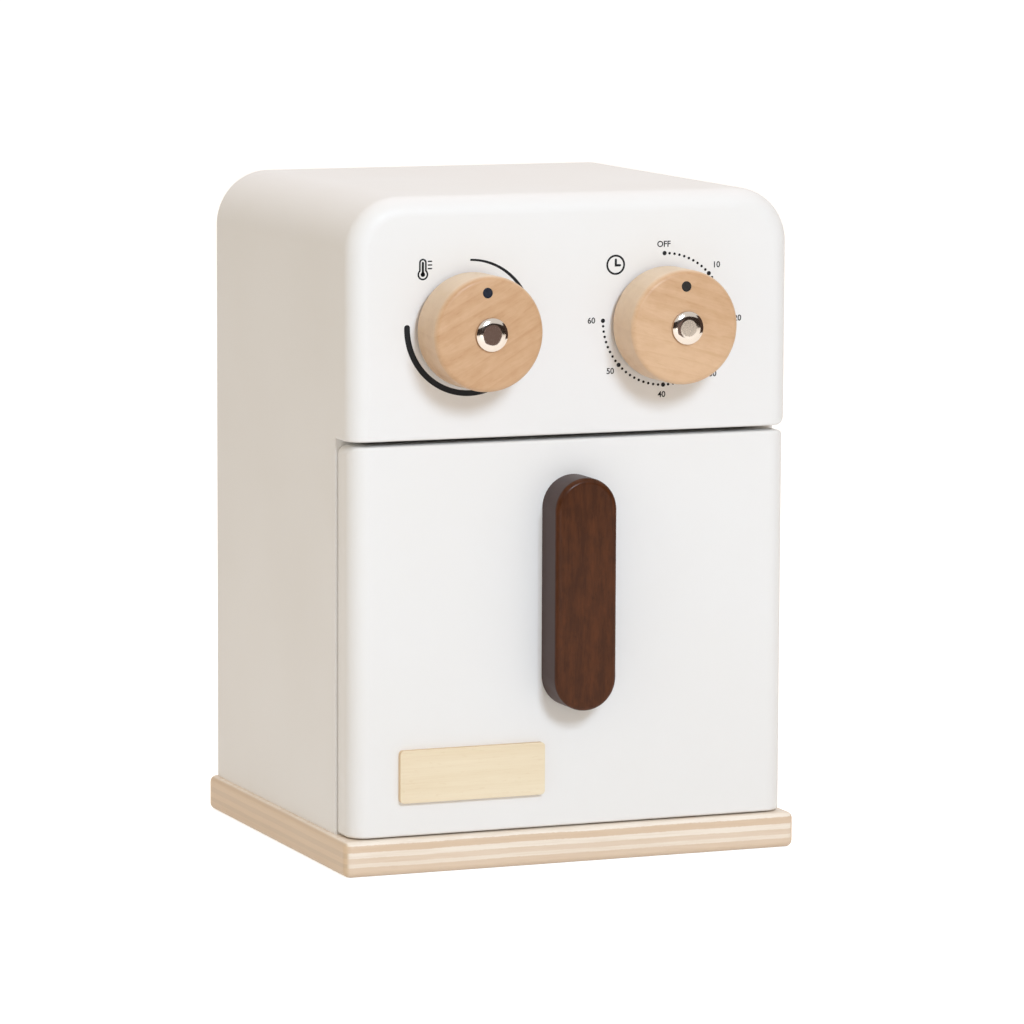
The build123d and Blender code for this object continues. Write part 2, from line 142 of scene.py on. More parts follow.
class AirFryerPrint(PropertyGroup):
    """Black marks printed on the control panel."""

    ink: FloatVectorProperty(
        name="Ink", description="Colour of the printing ink", subtype="COLOR",
        size=3, min=0.0, max=1.0, default=tint(28, 28, 30),
    )
    film: FloatProperty(
        name="Film", description="Thickness of the printed ink", unit="LENGTH",
        min=0.001 * MM, max=MM, default=0.05 * MM,
    )
    temperature_shift: FloatVectorProperty(
        name="Temperature shift", description="How far the heat arc's middle strays from the knob's",
        unit="LENGTH", size=2, min=-5 * MM, max=5 * MM, default=(0.25 * MM, 0.9 * MM),
    )
    timer_shift: FloatVectorProperty(
        name="Timer shift", description="How far the dotted scale's middle strays from the knob's",
        unit="LENGTH", size=2, min=-5 * MM, max=5 * MM, default=(0.32 * MM, 1.2 * MM),
    )
    scale_radius: FloatProperty(
        name="Scale radius", description="Radius of the printed circle round each dial",
        unit="LENGTH", min=10 * MM, max=60 * MM, default=23.7 * MM,
    )
    dot_steps: IntProperty(
        name="Dot steps", description="Steps from one dot to the next over the whole timer scale",
        min=6, max=120, default=57,
    )
    dot_radius: FloatProperty(
        name="Dot radius", description="Radius of a small dot of the timer scale",
        unit="LENGTH", min=0.05 * MM, max=5 * MM, default=0.48 * MM,
    )
    ten_radius: FloatProperty(
        name="Tens radius", description="Radius of a dot that has a number",
        unit="LENGTH", min=0.05 * MM, max=5 * MM, default=0.8 * MM,
    )
    cap_height: FloatProperty(
        name="Letter height", description="Height of the numbers and letters",
        unit="LENGTH", min=0.5 * MM, max=20 * MM, default=2.2 * MM,
    )
    clock_x: FloatProperty(
        name="Clock x", description="Place of the clock mark across, from the middle of the scale",
        unit="LENGTH", default=-18.9 * MM,
    )
    clock_z: FloatProperty(
        name="Clock z", description="Place of the clock mark up, from the middle of the scale",
        unit="LENGTH", default=20.05 * MM,
    )
    thermometer_x: FloatProperty(
        name="Thermometer x", description="Place of the thermometer's bulb across, from the arc's middle",
        unit="LENGTH", default=-17.75 * MM,
    )
    thermometer_z: FloatProperty(
        name="Thermometer z", description="Place of the thermometer's bulb up, from the arc's middle",
        unit="LENGTH", default=18.99 * MM,
    )


class AirFryerStudio(PropertyGroup):
    """Camera, lamps and floor."""

    camera_place: FloatVectorProperty(
        name="Camera place", description="Where the camera stands", subtype="XYZ",
        unit="LENGTH", size=3, default=(-0.7830, -1.9582, 0.3943),
    )
    yaw: FloatProperty(
        name="Yaw", description="Turn of the camera to the right of straight ahead",
        subtype="ANGLE", default=math.radians(21.94),
    )
    pitch: FloatProperty(
        name="Pitch", description="How far the camera looks down", subtype="ANGLE",
        default=math.radians(7.45),
    )
    roll: FloatProperty(
        name="Roll", description="Tilt of the camera round its line of sight", subtype="ANGLE",
        default=math.radians(0.24),
    )
    lens: FloatProperty(
        name="Lens", description="Focal length on a 36 mm wide sensor, in millimetres",
        min=10.0, max=1000.0, default=202.0,
    )
    key_power: FloatProperty(
        name="Key lamp", description="Power of the lamp above the front, in watts",
        min=0.0, max=1000.0, default=13.2,
    )
    low_power: FloatProperty(
        name="Low lamp", description="Power of the lamp low in front, in watts",
        min=0.0, max=1000.0, default=2.0,
    )
    side_power: FloatProperty(
        name="Side lamp", description="Power of the wide lamp at the left, in watts",
        min=0.0, max=1000.0, default=2.3,
    )
    top_power: FloatProperty(
        name="Top lamp", description="Power of the wide lamp overhead, in watts",
        min=0.0, max=1000.0, default=5.9,
    )
    ambient: FloatProperty(
        name="Room light", description="Strength of the even light of the room",
        min=0.0, max=5.0, default=0.51,
    )


def placed_object(name, data):
    """Object at the origin that holds a mesh, a lamp or a lens."""
    made = bpy.data.objects.new(name, data)
    bpy.context.scene.collection.objects.link(made)
    return made


def sheet_object(name, grid):
    """Open sheet over a grid of points, with four-sided faces between neighbouring points."""
    index = np.arange(grid.shape[0] * grid.shape[1]).reshape(grid.shape[:2])
    quads = np.stack([index[:-1, :-1], index[:-1, 1:], index[1:, 1:], index[1:, :-1]], axis=-1)
    mesh = bpy.data.meshes.new(name)
    mesh.from_pydata(grid.reshape(-1, 3).tolist(), [], quads.reshape(-1, 4).tolist())
    return placed_object(name, mesh)


def surface_object(name, islands, loop=False):
    """Mesh object of closed surfaces that all have the same grid.

    islands holds one grid of points for each surface: a row for each ring along it and a
    column for each point round the ring. Neighbouring rings are joined by four-sided faces.
    Where the rings don't run in a loop, one face closes the first ring and one the last.
    """
    count, rows, columns = islands.shape[:3]
    index = np.arange(count * rows * columns).reshape(count, rows, columns)
    ends = [] if loop else np.concatenate([index[:, 0, ::-1], index[:, -1]]).tolist()
    if loop:
        index = np.concatenate([index, index[:, :1]], axis=1)
    index = np.concatenate([index, index[:, :, :1]], axis=2)
    near, far = index[:, :-1], index[:, 1:]
    quads = np.stack([near[..., :-1], near[..., 1:], far[..., 1:], far[..., :-1]], axis=-1)
    mesh = bpy.data.meshes.new(name)
    mesh.from_pydata(islands.reshape(-1, 3).tolist(), [], quads.reshape(-1, 4).tolist() + ends)
    face_outwards(mesh)
    return placed_object(name, mesh)


def face_outwards(mesh, merge=0.0):
    """Turns the faces of closed surfaces outwards, once points closer than merge are made one."""
    work = bmesh.new()
    work.from_mesh(mesh)
    if merge:
        bmesh.ops.remove_doubles(work, verts=work.verts, dist=merge)
    bmesh.ops.recalc_face_normals(work, faces=work.faces)
    work.to_mesh(mesh)
    work.free()


def on_face(flat, height, face_y):
    """Points of a flat drawing (across, up), raised by height in front of a face that looks along -Y."""
    return np.stack([flat[..., 0], face_y - height, flat[..., 1]], axis=-1)


def dot_grids(middles, radii, thickness, face_y, columns=20):
    """Round dots on a face: each is a circle at the face, one at four fifths of the
    thickness, and one of nine tenths of the radius at the full thickness, so its rim is soft.
    The rings are the sine and cosine of even steps of a turn, times the dot's radius.
    """
    turn = np.arange(columns) * 2 * math.pi / columns
    circle = np.stack([np.sin(turn), np.cos(turn)], axis=-1)
    shrink = np.array([1.0, 1.0, 0.9])
    height = np.array([-SINK, 0.8, 1.0]) * thickness
    rings = shrink[None, :, None, None] * np.reshape(radii, (-1, 1, 1, 1)) * circle
    flat = rings + np.reshape(middles, (-1, 1, 1, 2))
    return on_face(flat, np.broadcast_to(height[None, :, None], flat.shape[:3]), face_y)


def stroke_grid(path, half_width, thickness, face_y, loop=False, caps=(True, True)):
    """A printed line: a low rectangular section carried along a flat path.

    At each point the sides stand off by the half width along the mitre, which is the sum of
    the two neighbouring normals divided by one plus their product. A round cap is six more
    sections beyond the end, whose half width is the sine of an angle that runs to a right
    angle, and whose distance from the end is its cosine.
    """
    path = np.asarray(path, float)
    half_width = np.broadcast_to(half_width, len(path)).astype(float)
    if loop:
        run = np.roll(path, -1, axis=0) - path
    else:
        run = np.diff(path, axis=0)
        run = np.vstack([run, run[-1:]])
    run /= np.linalg.norm(run, axis=1, keepdims=True)
    after = np.stack([-run[:, 1], run[:, 0]], axis=-1)
    before = np.roll(after, 1, axis=0)
    if not loop:
        before[0] = after[0]
    mitre = (before + after) / (1 + np.sum(before * after, axis=1, keepdims=True))
    cap_turn = np.radians(np.array([8, 22, 37, 52, 67, 82]))[:, None]
    if caps[0] and not loop:
        path = np.vstack([path[0] - run[0] * half_width[0] * np.cos(cap_turn), path])
        mitre = np.vstack([np.repeat(after[:1], len(cap_turn), axis=0), mitre])
        half_width = np.concatenate([half_width[0] * np.sin(cap_turn[:, 0]), half_width])
    if caps[1] and not loop:
        path = np.vstack([path, path[-1] + run[-1] * half_width[-1] * np.cos(cap_turn[::-1])])
        mitre = np.vstack([mitre, np.repeat(after[-1:], len(cap_turn), axis=0)])
        half_width = np.concatenate([half_width, half_width[-1] * np.sin(cap_turn[::-1, 0])])
    offset = mitre * half_width[:, None]
    left, right = path + offset, path - offset
    flat = np.stack([left, left, right, right], axis=1)
    height = np.array([-SINK, 1.0, 1.0, -SINK]) * thickness
    return on_face(flat, np.broadcast_to(height, flat.shape[:2]), face_y)[None]


def arc_points(centre, radius, start, end, steps):
    """Points on an arc. Angles are measured clockwise from straight up."""
    turn = np.linspace(start, end, steps)
    return np.stack([centre[0] + radius * np.sin(turn), centre[1] + radius * np.cos(turn)], axis=-1)


def joined(name, parts):
    """One object from several, all at the origin."""
    with bpy.context.temp_override(
        active_object=parts[0], selected_objects=parts, selected_editable_objects=parts
    ):
        bpy.ops.object.join()
    parts[0].name = name
    parts[0].data.name = name
    return parts[0]


def text_object(name, words, centre, height, thickness, face_y):
    """Letters on a face, as a closed mesh with their middle at centre and of the given height.

    They are set one unit high and a little bolder than the plain typeface, and are then
    scaled. Their front and back give the film's two levels.
    """
    curve = bpy.data.curves.new(name, "FONT")
    curve.body = words
    curve.align_x = "CENTER"
    curve.resolution_u = 6
    curve.offset = 0.016
    curve.extrude = 0.5
    source = placed_object(name, curve)
    bpy.context.view_layer.update()
    graph = bpy.context.evaluated_depsgraph_get()
    mesh = bpy.data.meshes.new_from_object(source.evaluated_get(graph))
    bpy.data.objects.remove(source)
    bpy.data.curves.remove(curve)
    points = np.empty(len(mesh.vertices) * 3)
    mesh.vertices.foreach_get("co", points)
    points = points.reshape(-1, 3)
    low, high = points.min(axis=0), points.max(axis=0)
    scale = height / (high[1] - low[1])
    flat = (points[:, :2] - (low[:2] + high[:2]) / 2) * scale + np.array(centre)
    raised = np.where(points[:, 2] > 0, thickness, -SINK * thickness)
    mesh.vertices.foreach_set("co", on_face(flat, raised, face_y).ravel())
    face_outwards(mesh, merge=0.001 * MM)
    mesh.name = name
    return placed_object(name, mesh)


def add_node(tree, kind, inputs=None, **settings):
    """Adds a node, sets its settings, and fills its inputs with values or with other nodes' outputs."""
    made = tree.nodes.new(kind)
    for name, value in settings.items():
        setattr(made, name, value)
    for key, value in (inputs or {}).items():
        if isinstance(value, bpy.types.NodeSocket):
            tree.links.new(value, made.inputs[key])
        else:
            made.inputs[key].default_value = value
    return made


def cleared_tree(owner):
    """Empty node tree of a material or a world."""
    owner.use_nodes = True
    owner.node_tree.nodes.clear()
    return owner.node_tree


def new_material(name, **values):
    """A material with one Principled shader, whose plain values are set by name."""
    material = bpy.data.materials.new(name)
    material.use_nodes = True
    shader = material.node_tree.nodes["Principled BSDF"]
    for key, value in values.items():
        socket = shader.inputs[key.replace("_", " ").title().replace("Ior", "IOR")]
        socket.default_value = (*value, 1.0) if isinstance(value, tuple) else value
    return material, material.node_tree, shader


def place_pattern(tree, centre=(0, 0, 0), turn=(0, 0, 0), scale=(1, 1, 1)):
    """Object coordinates, centred on a piece, turned and then scaled."""
    coords = add_node(tree, "ShaderNodeTexCoord")
    centred = add_node(
        tree, "ShaderNodeMapping", {"Vector": coords.outputs["Object"], "Location": Vector(centre) * -1}
    )
    turned = add_node(tree, "ShaderNodeMapping", {"Vector": centred.outputs[0], "Rotation": turn})
    return add_node(tree, "ShaderNodeMapping", {"Vector": turned.outputs[0], "Scale": scale}).outputs[0]


def noise(tree, vector, scale, detail=3.0, roughness=0.5, distortion=0.0):
    """Cloudy values from 0 to 1."""
    return add_node(
        tree, "ShaderNodeTexNoise",
        {"Vector": vector, "Scale": scale, "Detail": detail, "Roughness": roughness,
         "Distortion": distortion},
    ).outputs[0]


def remap(tree, value, low, high, new_low, new_high):
    """Stretches a value from one range to another and stops at its ends."""
    return add_node(
        tree, "ShaderNodeMapRange",
        {"Value": value, "From Min": low, "From Max": high, "To Min": new_low, "To Max": new_high},
    ).outputs[0]


def compute(tree, operation, *values):
    """One step of arithmetic on one, two or three values."""
    return add_node(tree, "ShaderNodeMath", dict(enumerate(values)), operation=operation).outputs[0]


def blend_colour(tree, share, first, second, blend_type="MIX"):
    """Two colours mixed by a share, each a socket or a colour."""
    first, second = (
        value if isinstance(value, bpy.types.NodeSocket) else (*value, 1.0) for value in (first, second)
    )
    return add_node(
        tree, "ShaderNodeMix", {0: share, 6: first, 7: second}, data_type="RGBA", blend_type=blend_type
    ).outputs[2]


def steps(tree, value, starts):
    """Steps from one colour to the next, softly, as a value passes the place where each begins."""
    soft = 0.012
    stops = [(0.0, starts[0][1])]
    for (start, colour), (_, before) in zip(starts[1:], starts):
        stops += [(start - soft, before), (start + soft, colour)]
    made = add_node(tree, "ShaderNodeValToRGB", {0: value})
    while len(made.color_ramp.elements) < len(stops):
        made.color_ramp.elements.new(1.0)
    for element, (position, colour) in zip(made.color_ramp.elements, stops):
        element.position = position
        element.color = (*colour, 1.0)
    return made.outputs[0]


def bump(tree, shader, height, distance):
    """Fine relief on a shader, of the given height in metres."""
    made = add_node(tree, "ShaderNodeBump", {"Height": height, "Distance": distance, "Strength": 1.0})
    tree.links.new(made.outputs[0], shader.inputs["Normal"])


def white_paint(settings):
    """Sprayed satin white paint: hardly uneven in colour, a little more so in gloss, and finely wavy."""
    material, tree, shader = new_material("white_paint", specular_ior_level=0.3)
    place = place_pattern(tree)
    cloud = noise(tree, place, 14.0, 4.0)
    fine = noise(tree, place, 420.0, 2.0)
    grain = noise(tree, place, 1500.0, 2.0)
    warm = tuple(channel * share for channel, share in zip(settings.colour, (0.985, 0.975, 0.96)))
    colour = blend_colour(tree, remap(tree, cloud, 0.35, 0.75, 0.0, 0.5), tuple(settings.colour), warm)
    tree.links.new(colour, shader.inputs["Base Color"])
    gloss = remap(tree, cloud, 0.3, 0.7, settings.roughness - 0.04, settings.roughness + 0.05)
    tree.links.new(gloss, shader.inputs["Roughness"])
    bump(tree, shader, compute(tree, "MULTIPLY_ADD", grain, 0.3, fine), settings.peel)
    return material


def faces_aside(tree, low, high):
    """One on faces at right angles to the front and back, falling to zero on those two."""
    normal = add_node(tree, "ShaderNodeNewGeometry").outputs["Normal"]
    forward = add_node(tree, "ShaderNodeSeparateXYZ", {0: normal}).outputs[1]
    return remap(tree, compute(tree, "ABSOLUTE", forward), low, high, 1.0, 0.0)


def grained_wood(
    name, light, dark, centre=(0, 0, 0), turn=(0, 0, 0), ring_spacing=6 * MM, ring_depth=0.55,
    depth=0.0, drift=0.0, streak=0.4, fleck=0.35, mottle=0.0, waves=1.0, roughness=0.45,
    specular=0.5, coat=0.0, fibre=0.006 * MM,
):
    """Solid wood whose grain runs along X of its own turned frame and whose rings cross Z.

    Growth rings are straight layers that a slow noise bends, sharpened on one side as late
    wood is. Over them lie long streaks and fine fibres, short dark flecks as in beech or
    maple, and blotches. Waves shortens them all along the grain. Depth darkens the wood,
    and drift darkens it by the share given for each centimetre across the layers.
    """
    material, tree, shader = new_material(
        name, roughness=roughness, specular_ior_level=specular, coat_weight=coat, coat_roughness=0.2
    )

    def grain_noise(stretch, scale, detail, softness):
        """Noise in the wood's own frame, drawn out along an axis where its stretch is below one."""
        return noise(tree, place_pattern(tree, centre, turn, stretch), scale, detail, softness)

    # Rings that the slow noise shifts a layer by, how late in a ring it darkens, and where it ends
    bend_rings, late_wood, ring_end = 5.0, 2.2, 0.93
    across = add_node(tree, "ShaderNodeSeparateXYZ", {0: place_pattern(tree, centre, turn)}).outputs[2]
    bend = grain_noise((0.12 * waves, 0.45, 1.0), 26.0, 2.0, 0.45)
    layers = compute(tree, "MULTIPLY_ADD", bend, bend_rings, compute(tree, "DIVIDE", across, ring_spacing))
    rise = compute(tree, "FRACT", layers)
    fall = remap(tree, rise, ring_end, 1.0, 1.0, 0.0)
    ring = compute(tree, "MULTIPLY", compute(tree, "POWER", rise, late_wood), fall)
    shade = compute(tree, "MULTIPLY", ring, ring_depth)
    fibres = grain_noise((0.035 * waves, 1.0, 1.0), 1900.0, 3.0, 0.6)
    # Each mark's noise, the range of it that shows, and how dark it gets
    marks = (
        (grain_noise((0.05 * waves, 0.6, 1.0), 330.0, 3.0, 0.6), 0.35, 0.7, streak),
        (fibres, 0.4, 0.75, 0.55 * streak),
        (grain_noise((0.22, 1.0, 1.0), 1500.0, 1.0, 0.4), 0.66, 0.74, fleck),
        (grain_noise((0.6, 1.0, 1.0), 210.0, 3.0, 0.6), 0.4, 0.65, mottle),
    )
    for mark, faint, full, strength in marks:
        shade = compute(tree, "ADD", shade, remap(tree, mark, faint, full, 0.0, strength))
    reach = 10 * MM
    shade = compute(tree, "ADD", shade, remap(tree, across, -reach, reach, depth - drift, depth + drift))
    tree.links.new(blend_colour(tree, shade, light, dark), shader.inputs["Base Color"])
    bump(tree, shader, fibres, fibre)
    return material


def tint_sides(material, share, colour):
    """Blends a colour into a wood, by a share that is a number or a socket. It gives the tile's cut edges
    their own colour, and paints light and sheen on the knobs' rims and the handle's sides.
    """
    tree = material.node_tree
    shader = tree.nodes["Principled BSDF"]
    wood = shader.inputs["Base Color"].links[0].from_socket
    tree.links.new(blend_colour(tree, share, wood, colour), shader.inputs["Base Color"])


def knob_wood(name, node, slope, depth, drift, settings):
    """Clear lacquered pale wood of a knob. Its rim is paler than its face, partly in its own tone and
    partly as painted light and sheen from above, most of all at the top.
    """
    centre = middle(node)
    material = grained_wood(
        name, tuple(settings.knob_light), tuple(settings.knob_dark), centre=centre,
        turn=(0.0, slope, 0.0), ring_spacing=settings.ring_spacing, ring_depth=0.24, depth=depth,
        drift=drift, streak=0.26, fleck=0.12, mottle=0.2, waves=2.5, roughness=0.42, specular=0.3,
        coat=0.12,
    )
    tree = material.node_tree
    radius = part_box(node)[1].z - centre.z
    height = add_node(tree, "ShaderNodeSeparateXYZ", {0: place_pattern(tree, centre)}).outputs[2]
    # Painted light: the rim's pale tint grows towards the top, where light and the lacquer's sheen fall;
    # low down only the rim's own paler tone is left
    painted_top_light = remap(tree, height, -0.7 * radius, radius, 0.12, 0.62)
    rim_tone_and_top_light = compute(tree, "MULTIPLY", faces_aside(tree, 0.1, 0.85), painted_top_light)
    tint_sides(material, rim_tone_and_top_light, tint(240, 226, 200))
    return material


def base_plywood(settings):
    """Clear varnished plywood seen at its rounded edge.

    The height above the underside, as a share of the thickness, steps through the plies, and
    two noises make their borders wander. The front and back show pale plies along the grain
    and tan ones cut across. At the sides the plies hardly differ, and fine streaks run along
    them. The level faces show the veneer on top.
    """
    material, tree, shader = new_material(
        "base_plywood", roughness=0.45, coat_weight=0.15, coat_roughness=0.25
    )
    place = place_pattern(tree)
    axes = add_node(tree, "ShaderNodeSeparateXYZ", {0: place})
    wander = remap(tree, noise(tree, place, 20.0, 2.0), 0.3, 0.7, -0.02, 0.02)
    frayed = remap(tree, noise(tree, place, 700.0, 2.0), 0.3, 0.7, -0.006, 0.006)
    share = compute(tree, "DIVIDE", axes.outputs[2], BASE_THICKNESS)
    share = compute(tree, "ADD", compute(tree, "ADD", share, wander), frayed)
    plies = (settings.ply_pale, settings.ply_tan, settings.ply_side)
    pale, tan, side = (np.array(colour) for colour in plies)
    # Where each ply starts from below, and how pale it is at the front and bright at the sides
    ply_starts = (0.0, 0.057, 0.283, 0.396, 0.547, 0.70, 0.887)
    front_tones = (0.1, 0.15, 0.7, 0.3, 0.85, 0.0, 1.0)
    side_tones = (0.9, 1.0, 0.92, 1.03, 0.94, 1.04, 0.97)
    front_plies = steps(tree, share, [
        (start, tuple(tan + (pale - tan) * tone)) for start, tone in zip(ply_starts, front_tones)
    ])
    side_plies = steps(tree, share, [
        (start, tuple(side * tone)) for start, tone in zip(ply_starts, side_tones)
    ])
    normal = add_node(tree, "ShaderNodeNewGeometry").outputs["Normal"]
    facing = add_node(tree, "ShaderNodeSeparateXYZ", {0: normal})
    looks_aside = remap(tree, compute(tree, "ABSOLUTE", facing.outputs[0]), 0.45, 0.75, 0.0, 1.0)
    level = remap(tree, compute(tree, "ABSOLUTE", facing.outputs[2]), 0.8, 0.97, 0.0, 1.0)
    colour = blend_colour(tree, looks_aside, front_plies, side_plies)
    veneer = noise(tree, place_pattern(tree, scale=(0.06, 1.0, 1.0)), 600.0, 3.0, 0.6)
    veneer_colour = blend_colour(
        tree, remap(tree, veneer, 0.35, 0.7, 0.0, 0.6), tuple(settings.ply_pale), tuple(settings.ply_tan)
    )
    colour = blend_colour(tree, level, colour, veneer_colour)
    streaks = noise(tree, place_pattern(tree, scale=(0.04, 0.04, 1.0)), 1400.0, 3.0, 0.6)
    patches = noise(tree, place_pattern(tree, scale=(0.3, 0.3, 1.0)), 160.0, 2.0)
    dull = tuple(tan * (0.86, 0.8, 0.72))
    colour = blend_colour(tree, remap(tree, streaks, 0.42, 0.75, 0.0, 0.26), colour, dull)
    colour = blend_colour(tree, remap(tree, patches, 0.48, 0.72, 0.0, 0.12), colour, dull)
    tree.links.new(colour, shader.inputs["Base Color"])
    bump(tree, shader, streaks, 0.008 * MM)
    return material


def metal(name, colour, roughness, scratch):
    """Plated or blank metal with fine marks that change its gloss."""
    material, tree, shader = new_material(name, base_color=colour, metallic=1.0)
    marks = noise(tree, place_pattern(tree, scale=(1.0, 1.0, 0.4)), 2600.0, 3.0, 0.6)
    gloss = remap(tree, marks, 0.3, 0.7, roughness - scratch, roughness + scratch)
    tree.links.new(gloss, shader.inputs["Roughness"])
    bump(tree, shader, marks, 0.003 * MM)
    return material


def moulded_nylon():
    """Natural nylon, a little milky."""
    material, tree, shader = new_material(
        "nylon", roughness=0.42, subsurface_weight=0.15, subsurface_scale=0.5 * MM
    )
    cloud = noise(tree, place_pattern(tree), 300.0)
    milky = blend_colour(tree, cloud, tint(236, 233, 222), tint(226, 221, 206))
    tree.links.new(milky, shader.inputs["Base Color"])
    bump(tree, shader, noise(tree, place_pattern(tree), 1800.0), 0.004 * MM)
    return material


def dull_film(name, colour, roughness):
    """Ink or paint in a thin film, a little uneven in colour and gloss."""
    material, tree, shader = new_material(name, specular_ior_level=0.2)
    cloud = noise(tree, place_pattern(tree), 900.0, 3.0)
    lighter = tuple(min(1.0, channel * 1.6 + 0.004) for channel in colour)
    worn = blend_colour(tree, remap(tree, cloud, 0.4, 0.75, 0.0, 0.6), colour, lighter)
    tree.links.new(worn, shader.inputs["Base Color"])
    gloss = remap(tree, cloud, 0.3, 0.7, roughness - 0.08, roughness + 0.08)
    tree.links.new(gloss, shader.inputs["Roughness"])
    bump(tree, shader, cloud, 0.004 * MM)
    return material


def finish_nodes(names, material):
    """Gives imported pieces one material."""
    for name in names:
        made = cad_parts[name]
        made.data.materials.clear()
        made.data.materials.append(material)


def finish_piece(piece, material, body):
    """Gives a new piece its material and its body."""
    piece.data.materials.clear()
    piece.data.materials.append(material)
    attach(piece, body)


def ink_material(settings):
    """The printing ink, made once."""
    return bpy.data.materials.get("print_ink") or dull_film("print_ink", tuple(settings.ink), 0.6)


def print_middle(dial, settings):
    """Middle of the circle printed round a dial, as (across, up)."""
    knob = middle(f"{dial}_knob")
    return np.array([knob.x, knob.z]) + getattr(settings, f"{dial}_shift")


class AIRFRYER_OT_paint_casing(Operator):
    """Paint the casing's panels and the drawer front white"""

    bl_idname = "airfryer.paint_casing"
    bl_label = "Paint Casing"

    def execute(self, context):
        panels = (
            "left_side_panel", "right_side_panel", "top_panel", "back_panel", "control_panel",
            "drawer_front",
        )
        finish_nodes(panels, white_paint(context.scene.air_fryer_paint))
        return {"FINISHED"}


class AIRFRYER_OT_varnish_base(Operator):
    """Varnish the plywood base board"""

    bl_idname = "airfryer.varnish_base"
    bl_label = "Varnish Base"

    def execute(self, context):
        finish_nodes(("base_board",), base_plywood(context.scene.air_fryer_wood))
        return {"FINISHED"}


class AIRFRYER_OT_sand_inner_wood(Operator):
    """Finish the shelf, the drawer's box and the guide rails as bare sanded wood"""

    bl_idname = "airfryer.sand_inner_wood"
    bl_label = "Sand Inner Wood"

    def execute(self, context):
        birch = {
            "light": tint(233, 213, 182), "dark": tint(205, 174, 134), "ring_spacing": 11 * MM,
            "roughness": 0.6,
        }
        quarter_turn = (0.0, 0.0, math.radians(90))
        along_x = grained_wood("inner_plywood_cross", **birch)
        along_y = grained_wood("inner_plywood", turn=quarter_turn, **birch)
        beech = grained_wood(
            "inner_beech", tint(222, 184, 142), tint(190, 142, 100), turn=quarter_turn,
            ring_spacing=3 * MM, fleck=0.6, roughness=0.5,
        )
        finish_nodes(("drawer_back_wall", "divider_shelf"), along_x)
        finish_nodes(("drawer_left_wall", "drawer_right_wall", "drawer_floor"), along_y)
        finish_nodes(("left_guide_rail", "right_guide_rail"), beech)
        return {"FINISHED"}


class AIRFRYER_OT_lacquer_knobs(Operator):
    """Lacquer the two knobs, each with its own run of the grain"""

    bl_idname = "airfryer.lacquer_knobs"
    bl_label = "Lacquer Knobs"

    def execute(self, context):
        wood = context.scene.air_fryer_wood
        grains = {
            "temperature": (wood.temperature_grain, 0.22, 0.0),
            "timer": (wood.timer_grain, -0.05, 0.16),
        }
        for dial, (slope, depth, drift) in grains.items():
            node = f"{dial}_knob"
            finish_nodes((node,), knob_wood(f"knob_wood_{dial}", node, slope, depth, drift, wood))
        return {"FINISHED"}


class AIRFRYER_OT_stain_handle(Operator):
    """Stain the handle dark brown under a satin lacquer, with a painted sheen on its sides"""

    bl_idname = "airfryer.stain_handle"
    bl_label = "Stain Handle"

    def execute(self, context):
        wood = context.scene.air_fryer_wood
        stain = grained_wood(
            "dark_stained_wood", tuple(wood.stain_light), tuple(wood.stain_dark), centre=middle("handle"),
            turn=(0.0, math.radians(90), 0.0), ring_spacing=5 * MM, ring_depth=0.2, depth=0.1,
            streak=0.6, fleck=0.25, mottle=0.35, waves=3.5, roughness=0.45, specular=0.05, coat=0.22,
            fibre=0.006 * MM,
        )
        # Painted reflection: the grey-brown tint on the handle's sides stands in for the lacquer's sheen
        # seen at a grazing angle
        tint_sides(stain, faces_aside(stain.node_tree, 0.05, 0.4), tint(70, 52, 48))
        finish_nodes(("handle",), stain)
        return {"FINISHED"}


class AIRFRYER_OT_finish_tile(Operator):
    """Finish the bare tile as thin sanded pale wood"""

    bl_idname = "airfryer.finish_tile"
    bl_label = "Finish Tile"

    def execute(self, context):
        pale = grained_wood(
            "tile_wood", tint(242, 227, 198), tint(226, 203, 166), centre=middle("front_tile"),
            ring_spacing=14 * MM, ring_depth=0.25, streak=0.3, fleck=0.2, roughness=0.6,
        )
        tint_sides(pale, faces_aside(pale.node_tree, 0.3, 0.75), tint(226, 200, 164))
        finish_nodes(("front_tile",), pale)
        return {"FINISHED"}


class AIRFRYER_OT_finish_metal(Operator):
    """Finish bolts, sleeves, washers, nuts, springs, screws and the nylon pieces"""

    bl_idname = "airfryer.finish_metal"
    bl_label = "Finish Metal"

    def execute(self, context):
        chrome = metal("chrome", tint(206, 195, 183), 0.1, 0.03)
        zinc = metal("zinc_steel", tint(205, 206, 203), 0.3, 0.08)
        spring = metal("spring_steel", tint(150, 151, 154), 0.28, 0.08)
        nylon = moulded_nylon()
        finish_nodes(("base_screws", "handle_screws"), zinc)
        for dial in ("temperature", "timer"):
            finish_nodes((f"{dial}_bolt",), chrome)
            finish_nodes((f"{dial}_click_spring",), spring)
            finish_nodes((f"{dial}_bush", f"{dial}_click_wheel"), nylon)
            steel_pieces = ("sleeve", "washer", "nut", "spring_screws")
            finish_nodes([f"{dial}_{piece}" for piece in steel_pieces], zinc)
        return {"FINISHED"}


